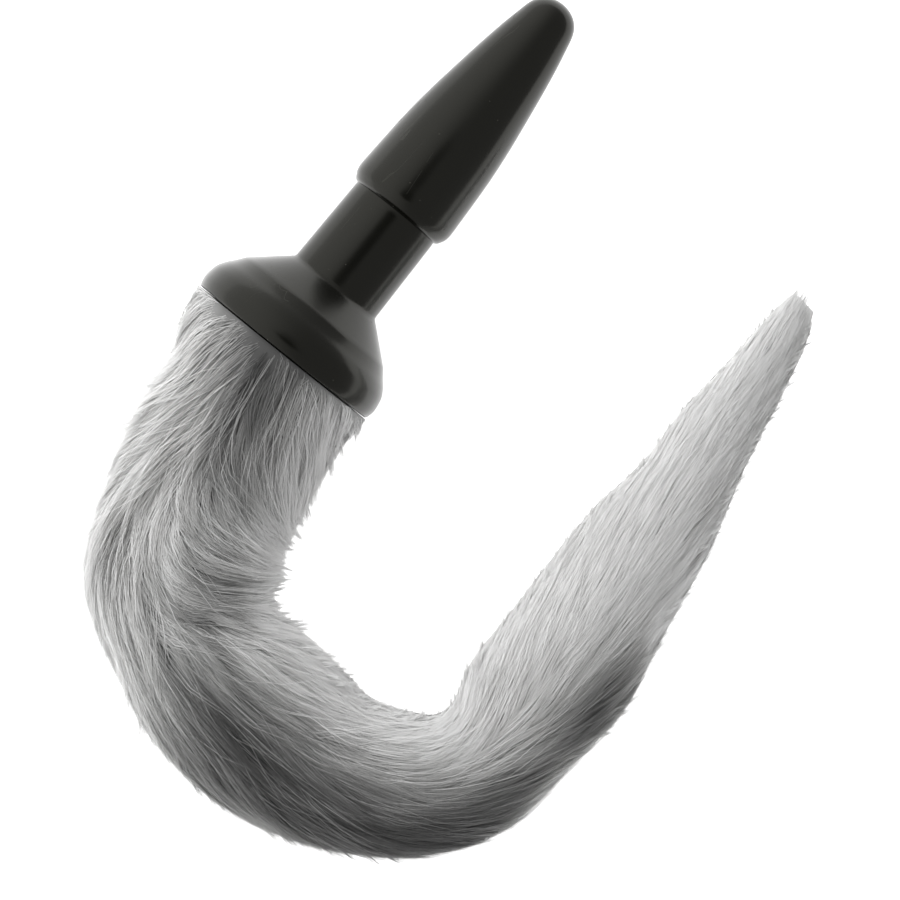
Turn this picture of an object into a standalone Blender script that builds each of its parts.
"""A moulded rubber plug with a long faux-fur tail, lying on a flat surface.

Blender 4.5, in metres, with +Z up and the surface at z = 0. The plug is level and points
along +Y. The tail leaves the plug's flat base, bends round in a U towards +X and comes back
beside the plug. A plain post inside holds the two together. The fur is a padded core with
locks of pile fused to it, and the surface presses its underside flat.
"""

import math
import random
from collections import namedtuple

import bmesh
import bpy
from mathutils import Matrix, Vector

# Driving dimensions
FIT_GAP = 0.0003  # left between pieces that touch

BASE_RADIUS = 0.0280  # widest point of the flared base
BASE_DEPTH = 0.0218  # from the flat face to the neck
NECK_RADIUS = 0.0131
NECK_LENGTH = 0.0244
HEAD_RADIUS = 0.0149
HEAD_LENGTH = 0.0692

STEM_RADIUS = 0.0040
STEM_IN_PLUG = 0.0200
STEM_IN_TAIL = 0.0300

TAIL_LENGTH = 0.3190  # along the middle of the tail
TAIL_RADIUS = 0.0262  # half the width of the padded core at its fullest
LOCK_LENGTH = 0.0360
LOCK_WIDTH = 0.0150
LOCK_RISE = 0.0022  # how far the tip of a full-size lock stands off the core

# How finely the round pieces and the fur are meshed
PLUG_SIDES = 40
STEM_SIDES = 20
CORE_SIDES = 22
CORE_RINGS = 40
ROUTE_STEPS = 320
SHARP_FROM = 40  # degrees between faces from which an edge of a round piece is shaded sharp

# The plug's outline. A base row lies between the flat face (0) and the neck (1) as a share of
# BASE_DEPTH, and out from the neck (0) to the rim (1) as a share of the flare. A straight flank
# joins the last one to the neck. A head row lies between the neck (0) and the tip (1) as a
# share of HEAD_LENGTH, and out as a share of HEAD_RADIUS. A round cap closes the last one.
OutlinePoint = namedtuple("OutlinePoint", "along out")

BASE_OUTLINE = (
    OutlinePoint(0.00, 0.96),
    OutlinePoint(0.07, 0.99),
    OutlinePoint(0.15, 1.00),
    OutlinePoint(0.30, 0.96),
    OutlinePoint(0.40, 0.88),
    OutlinePoint(0.50, 0.76),
    OutlinePoint(0.60, 0.65),
)
HEAD_OUTLINE = (
    OutlinePoint(0.015, 0.93),
    OutlinePoint(0.035, 0.98),
    OutlinePoint(0.06, 1.00),
    OutlinePoint(0.12, 0.99),
    OutlinePoint(0.21, 0.97),
    OutlinePoint(0.33, 0.935),
    OutlinePoint(0.45, 0.875),
    OutlinePoint(0.57, 0.795),
    OutlinePoint(0.69, 0.71),
    OutlinePoint(0.80, 0.62),
    OutlinePoint(0.90, 0.52),
)
NECK_TAPER = 0.97  # the neck's radius at the head, as a share of its radius at the base
TIP_STEPS = 5

# The tail from the plug (0) to its tip (1), as shares of TAIL_LENGTH. Turn is the direction
# that it runs in, in degrees from straight out of the base towards the inside of the U.
# Half_width is a share of TAIL_RADIUS.
TailSection = namedtuple("TailSection", "along turn half_width")

TAIL_SECTIONS = (
    TailSection(0.00, 0, 1.00),
    TailSection(0.03, 9, 0.97),
    TailSection(0.06, 13, 0.95),
    TailSection(0.12, 14, 0.93),
    TailSection(0.18, 27, 0.94),
    TailSection(0.24, 57, 0.90),
    TailSection(0.30, 77, 0.93),
    TailSection(0.36, 91, 0.88),
    TailSection(0.42, 112, 0.79),
    TailSection(0.48, 136, 0.73),
    TailSection(0.54, 168, 0.66),
    TailSection(0.60, 182, 0.74),
    TailSection(0.68, 184, 0.69),
    TailSection(0.76, 185, 0.58),
    TailSection(0.84, 185, 0.43),
    TailSection(0.92, 185, 0.31),
    TailSection(0.97, 186, 0.22),
    TailSection(1.00, 187, 0.12),
)
FUR_HEIGHT = 0.88  # the lying fur's height as a share of its width
CORE_END = 0.99  # where the core starts to close to its tip, as a share of its length
PRESSED = 0.12  # how much of the lower half height the surface presses flat
SETTLED = 0.14  # share of the length over which the tail sinks from the plug to the surface
SPREAD = 0.05  # share of the length over which it takes its own width from the plug's face

# The way the pile is combed, in degrees from along the tail. Plus leans towards the inside of
# the U. Outer, top and inner are the three lines along the tail that the rows hold it at.
GrainSection = namedtuple("GrainSection", "along outer top inner")

GRAIN_SECTIONS = (
    GrainSection(0.00, -40, -5, 20),
    GrainSection(0.07, -38, -5, 25),
    GrainSection(0.12, -12, 8, 40),
    GrainSection(0.17, 5, 35, 80),
    GrainSection(0.21, 5, 35, 75),
    GrainSection(0.26, -8, 12, 40),
    GrainSection(0.32, -12, 2, 20),
    GrainSection(0.42, -22, -8, 5),
    GrainSection(0.50, -26, -8, 5),
    GrainSection(0.58, -18, 6, 20),
    GrainSection(0.68, -10, 8, 12),
    GrainSection(0.80, -5, 0, 6),
    GrainSection(1.00, 0, 0, 0),
)

# The rows of locks along the tail, and how far they reach round it from the inside of the U
# (0 degrees) over the top (90 degrees) to the outside (180 degrees)
FIRST_LOCKS = 0.012
LAST_LOCKS = 0.92
LOCK_ROWS = 20
LOCKS_FROM = -14
LOCKS_TO = 194
LOCK_SPACING = 1.2  # between neighbours in a row, as a share of their width
LOCK_STAGGER = 0.5  # how far every other row is shifted, as a share of that spacing
LOCK_THINNING = 0.6  # how quickly the locks shrink as the tail narrows: 0 for not at all

# How much the locks differ from each other, up or down, and what the random draws start from
SIZE_VARIES = 0.15  # share of a lock's length and width
RISE_VARIES = 0.30  # share of its rise
ROUND_VARIES = 0.12  # share of the spacing in its row
ALONG_VARIES = 0.008  # share of the tail's length
LOCK_RANDOM = 11

# A lock from its root (0) to its tip (1). Width is a share of LOCK_WIDTH, and rise, the height
# of its ridge over the core, a share of LOCK_RISE. Its foot is sunk in the core all along.
LockSection = namedtuple("LockSection", "along width rise")

LOCK_SECTIONS = (
    LockSection(0.00, 0.45, -0.50),
    LockSection(0.25, 0.90, 0.45),
    LockSection(0.50, 1.00, 0.85),
    LockSection(0.78, 0.72, 1.00),
    LockSection(1.00, 0.18, 0.95),
)

# Half of a lock's cross-section, from its foot to its ridge. Beside is a share of half the
# lock's width, and up runs from the foot (0) to the ridge (1).
LockEdge = namedtuple("LockEdge", "beside up")

LOCK_EDGE = (LockEdge(1.0, 0.0), LockEdge(0.62, 0.82), LockEdge(0.0, 1.0))
LOCK_FOOT = 0.0016  # depth of a lock's foot under the core's skin


def clear_scene():
    for obj in list(bpy.data.objects):
        bpy.data.objects.remove(obj, do_unlink=True)


def make_material(name, colour, roughness, metallic=0.0):
    material = bpy.data.materials.new(name)
    material.use_nodes = True
    shader = material.node_tree.nodes["Principled BSDF"]
    shader.inputs["Base Color"].default_value = (*colour, 1.0)
    shader.inputs["Roughness"].default_value = roughness
    shader.inputs["Metallic"].default_value = metallic
    return material


def add_object(name, mesh, material=None, collection=None):
    obj = bpy.data.objects.new(name, mesh)
    (collection or bpy.context.scene.collection).objects.link(obj)
    if material:
        mesh.materials.append(material)
    return obj


def make_cutter(obj):
    """Keep a shape that only cuts or joins others out of the render."""
    obj.hide_render = True
    obj.display_type = "WIRE"


def smooth_between(rows, column, along):
    """The value of a table's column at a share along it, on a smooth curve through the rows."""
    places = [row.along for row in rows]
    values = [getattr(row, column) for row in rows]
    last = len(rows) - 1

    def slope(i):
        before, after = max(i - 1, 0), min(i + 1, last)
        return (values[after] - values[before]) / (places[after] - places[before])

    i = max(k for k in range(last) if places[k] <= max(along, places[0]))
    span = places[i + 1] - places[i]
    t = min((along - places[i]) / span, 1.0)
    return (
        (2 * t**3 - 3 * t**2 + 1) * values[i]
        + (t**3 - 2 * t**2 + t) * span * slope(i)
        + (3 * t**2 - 2 * t**3) * values[i + 1]
        + (t**3 - t**2) * span * slope(i + 1)
    )


def eased(share):
    """0 to 1 with a level start and end."""
    share = min(max(share, 0.0), 1.0)
    return share * share * (3 - 2 * share)


# Plug

FACE_RADIUS = NECK_RADIUS + BASE_OUTLINE[0].out * (BASE_RADIUS - NECK_RADIUS)
SOCKET_RADIUS = STEM_RADIUS + FIT_GAP
SOCKET_DEPTH = STEM_IN_PLUG + FIT_GAP


def plug_outline():
    """(radius, height) of the plug's half section, from the tip down to the base's face."""
    flare = BASE_RADIUS - NECK_RADIUS
    head_start = BASE_DEPTH + NECK_LENGTH
    last = HEAD_OUTLINE[-1]
    cap_start = head_start + last.along * HEAD_LENGTH
    cap_height = (1 - last.along) * HEAD_LENGTH
    points = [(0.0, cap_start + cap_height)]
    for step in range(1, TIP_STEPS):
        angle = math.pi / 2 * step / TIP_STEPS
        radius = last.out * HEAD_RADIUS * math.sin(angle)
        points.append((radius, cap_start + cap_height * math.cos(angle)))
    for row in reversed(HEAD_OUTLINE):
        points.append((row.out * HEAD_RADIUS, head_start + row.along * HEAD_LENGTH))
    points.append((NECK_RADIUS * NECK_TAPER, head_start))
    points.append((NECK_RADIUS, BASE_DEPTH))
    for row in reversed(BASE_OUTLINE):
        points.append((NECK_RADIUS + row.out * flare, row.along * BASE_DEPTH))
    return points


def build_plug(material):
    """The plug is turned in one piece, with a blind socket for the post in its flat face."""
    outline = plug_outline()
    outline += [(SOCKET_RADIUS, 0.0), (SOCKET_RADIUS, SOCKET_DEPTH), (0.0, SOCKET_DEPTH)]
    mesh = bpy.data.meshes.new("plug")
    mesh.from_pydata(
        [(radius, 0.0, height) for radius, height in outline],
        [(i, i + 1) for i in range(len(outline) - 1)],
        [],
    )
    plug = add_object("plug", mesh, material)
    turn = plug.modifiers.new("turn", "SCREW")
    turn.axis = "Z"
    turn.angle = math.tau
    turn.steps = PLUG_SIDES
    turn.render_steps = PLUG_SIDES
    turn.use_merge_vertices = True
    turn.merge_threshold = 0.00001
    turn.use_smooth_shade = True
    plug.location = (0.0, 0.0, BASE_RADIUS)
    plug.rotation_euler = (-math.pi / 2, 0.0, 0.0)
    return plug


# Post between the plug and the tail


def cylinder(name, radius, length, sides, material=None):
    """A plain cylinder along +Y from the object's origin."""
    bm = bmesh.new()
    bmesh.ops.create_cone(
        bm,
        cap_ends=True,
        segments=sides,
        radius1=radius,
        radius2=radius,
        depth=length,
        matrix=Matrix.Rotation(-math.pi / 2, 4, "X") @ Matrix.Translation((0, 0, length / 2)),
    )
    mesh = bpy.data.meshes.new(name)
    bm.to_mesh(mesh)
    bm.free()
    mesh.shade_smooth()
    mesh.set_sharp_from_angle(angle=math.radians(SHARP_FROM))
    return add_object(name, mesh, material)


def build_stem(material):
    stem = cylinder(
        "tail_stem", STEM_RADIUS, STEM_IN_TAIL + STEM_IN_PLUG, STEM_SIDES, material
    )
    stem.location = (0.0, -STEM_IN_TAIL, BASE_RADIUS)
    return stem


# Tail


def walk_route():
    """Points and directions along the middle of the tail, walked from the plug to the tip."""
    step = TAIL_LENGTH / ROUTE_STEPS
    point = Vector((0.0, -FIT_GAP))
    route = []
    for i in range(ROUTE_STEPS + 1):
        turn = math.radians(smooth_between(TAIL_SECTIONS, "turn", i / ROUTE_STEPS))
        forward = Vector((math.sin(turn), -math.cos(turn)))
        if route:
            point = point + (route[-1][1] + forward) * (step / 2)
        route.append((point, forward))
    return route


ROUTE = walk_route()


def tail_section(along):
    """Middle, inward direction, half width and half height of the core at a share along it."""
    place = min(max(along, 0.0), 1.0) * ROUTE_STEPS
    i = min(int(place), ROUTE_STEPS - 1)
    part = place - i
    point = ROUTE[i][0].lerp(ROUTE[i + 1][0], part)
    forward = ROUTE[i][1].lerp(ROUTE[i + 1][1], part).normalized()
    settled = eased(along / SETTLED)
    half_width = TAIL_RADIUS * smooth_between(TAIL_SECTIONS, "half_width", along)
    half_height = half_width * FUR_HEIGHT
    lying = half_height * (1 - PRESSED)
    half_width = FACE_RADIUS + (half_width - FACE_RADIUS) * eased(along / SPREAD)
    half_height = FACE_RADIUS + (half_height - FACE_RADIUS) * settled
    height = BASE_RADIUS + (lying - BASE_RADIUS) * settled
    inward = Vector((-forward.y, forward.x, 0.0))
    return Vector((point.x, point.y, height)), inward, half_width, half_height


def fur_point(along, angle, lift=0.0, lowest=0.0):
    """A point over the core, lift above its skin, never under the surface that it lies on."""
    middle, inward, half_width, half_height = tail_section(along)
    point = (
        middle
        + inward * (half_width + lift) * math.cos(angle)
        + Vector((0, 0, (half_height + lift) * math.sin(angle)))
    )
    point.z = max(point.z, lowest)
    return point


def skin_rings(name, rings, end=None):
    """One closed mesh through rings of as many points each. End, if given, closes it to a point.

    Its faces are triangles, because a Boolean needs flat ones.
    """
    bm = bmesh.new()
    loops = [[bm.verts.new(point) for point in ring] for ring in rings]
    sides = len(rings[0])
    for near, far in zip(loops, loops[1:]):
        for i in range(sides):
            j = (i + 1) % sides
            bm.faces.new((near[i], near[j], far[j], far[i]))
    bm.faces.new(loops[0])
    if end is None:
        bm.faces.new(loops[-1])
    else:
        tip = bm.verts.new(end)
        for i in range(sides):
            bm.faces.new((loops[-1][i], loops[-1][(i + 1) % sides], tip))
    bmesh.ops.recalc_face_normals(bm, faces=bm.faces)
    bmesh.ops.triangulate(bm, faces=bm.faces)
    mesh = bpy.data.meshes.new(name)
    bm.to_mesh(mesh)
    bm.free()
    mesh.shade_smooth()
    return mesh


def build_core(material):
    """The padded core, flat at the plug's end and pressed flat underneath."""
    rings = []
    for k in range(CORE_RINGS):
        along = CORE_END * k / (CORE_RINGS - 1)
        rings.append(
            [fur_point(along, math.tau * i / CORE_SIDES) for i in range(CORE_SIDES)]
        )
    tip = tail_section(1.0)[0]
    return add_object("fur_tail", skin_rings("fur_tail", rings, tip), material)


def grain(along, angle):
    """The way the pile is combed at a place on the core, in radians from along the tail."""
    across = math.cos(angle)
    side = smooth_between(GRAIN_SECTIONS, "inner" if across > 0 else "outer", along)
    top = smooth_between(GRAIN_SECTIONS, "top", along)
    return math.radians(top + (side - top) * abs(across))


def lock_rings(along, angle, size, chance):
    """Rings of points of one lock, which follows the way the pile is combed."""
    length = LOCK_LENGTH * size * (1 + SIZE_VARIES * chance.uniform(-1, 1))
    width = LOCK_WIDTH * size * (1 + SIZE_VARIES * chance.uniform(-1, 1))
    height = LOCK_RISE * size * (1 + RISE_VARIES * chance.uniform(-1, 1))
    edges = LOCK_EDGE + tuple(LockEdge(-e.beside, e.up) for e in reversed(LOCK_EDGE[:-1]))
    rings = []
    reached = 0.0
    for row in LOCK_SECTIONS:
        lean = grain(along, angle)
        radius = tail_section(along)[2] + height
        step = (row.along - reached) * length
        reached = row.along
        along += step * math.cos(lean) / TAIL_LENGTH
        angle -= step * math.sin(lean) / radius
        ridge = height * row.rise
        ring = []
        for edge in edges:
            beside = width * row.width / 2 * edge.beside
            place = along - math.sin(lean) * beside / TAIL_LENGTH
            round_to = angle - math.cos(lean) * beside / radius
            lift = -LOCK_FOOT + (ridge + LOCK_FOOT) * edge.up
            ring.append(fur_point(place, round_to, lift, FIT_GAP))
        rings.append(ring)
    return rings


def build_locks(collection):
    """Rows of locks over the top and sides of the core, each a closed shape of its own."""
    chance = random.Random(LOCK_RANDOM)
    start, stop = math.radians(LOCKS_FROM), math.radians(LOCKS_TO)
    for row in range(LOCK_ROWS):
        along = FIRST_LOCKS + (LAST_LOCKS - FIRST_LOCKS) * row / (LOCK_ROWS - 1)
        _, _, half_width, _ = tail_section(along)
        size = (half_width / TAIL_RADIUS) ** LOCK_THINNING
        reach = half_width * (stop - start)
        count = max(3, round(reach / (LOCK_WIDTH * size * LOCK_SPACING)))
        shift = LOCK_STAGGER * (row % 2 + 0.5)
        for i in range(count):
            share = (i + shift + ROUND_VARIES * chance.uniform(-1, 1)) / count
            angle = start + (stop - start) * share
            place = along + ALONG_VARIES * chance.uniform(-1, 1)
            name = f"lock_{row + 1}_{i + 1}"
            rings = lock_rings(place, angle, size, chance)
            make_cutter(add_object(name, skin_rings(name, rings), None, collection))


def keep_outer_shell(obj):
    """Apply the modifiers, and fill the pinholes that crossing locks close off between them."""
    graph = bpy.context.evaluated_depsgraph_get()
    bm = bmesh.new()
    bm.from_object(obj, graph)
    shells = []
    unseen = set(bm.faces)
    while unseen:
        reached = [unseen.pop()]
        shell = []
        while reached:
            face = reached.pop()
            shell.append(face)
            plain = [edge for edge in face.edges if len(edge.link_faces) == 2]
            near = {other for edge in plain for other in edge.link_faces} & unseen
            unseen -= near
            reached += near
        shells.append(shell)
    shells.sort(key=len)
    pockets = [face for shell in shells[:-1] for face in shell]
    bmesh.ops.delete(bm, geom=pockets, context="FACES")
    obj.modifiers.clear()
    bm.to_mesh(obj.data)
    bm.free()


def build_tail(material):
    """A core with a bore for the post, and the locks fused to it, as one piece of fur."""
    tail = build_core(material)
    depth = STEM_IN_TAIL + FIT_GAP
    past_face = STEM_RADIUS
    bore = cylinder("stem_bore", SOCKET_RADIUS, depth + past_face, STEM_SIDES)
    bore.location = (0.0, -depth, BASE_RADIUS)
    make_cutter(bore)
    cut = tail.modifiers.new("cut_bore", "BOOLEAN")
    cut.operation = "DIFFERENCE"
    cut.solver = "EXACT"
    cut.object = bore
    locks = bpy.data.collections.new("locks")
    bpy.context.scene.collection.children.link(locks)
    build_locks(locks)
    fuse = tail.modifiers.new("fuse_locks", "BOOLEAN")
    fuse.operation = "UNION"
    fuse.solver = "EXACT"
    fuse.operand_type = "COLLECTION"
    fuse.collection = locks
    keep_outer_shell(tail)
    return tail


def centre_on_surface(pieces, others):
    """Move everything so that the middle of the whole object's footprint is the origin."""
    bpy.context.view_layer.update()
    graph = bpy.context.evaluated_depsgraph_get()
    corners = []
    for piece in pieces:
        seen = piece.evaluated_get(graph)
        corners += [seen.matrix_world @ vertex.co for vertex in seen.data.vertices]
    low = Vector(min(corner[i] for corner in corners) for i in range(3))
    high = Vector(max(corner[i] for corner in corners) for i in range(3))
    middle = (low + high) / 2
    origin = bpy.data.objects.new("footprint_middle", None)
    bpy.context.scene.collection.objects.link(origin)
    for obj in pieces + others:
        obj.parent = origin
    origin.location = (-middle.x, -middle.y, 0.0)


def main():
    clear_scene()
    rubber = make_material("black_rubber", (0.022, 0.023, 0.018), 0.34)
    fur = make_material("grey_fur", (0.62, 0.62, 0.60), 0.85)
    plastic = make_material("stem_plastic", (0.08, 0.08, 0.08), 0.5)
    plug = build_plug(rubber)
    stem = build_stem(plastic)
    tail = build_tail(fur)
    helpers = [obj for obj in bpy.data.objects if obj.hide_render]
    centre_on_surface([plug, stem, tail], helpers)


main()
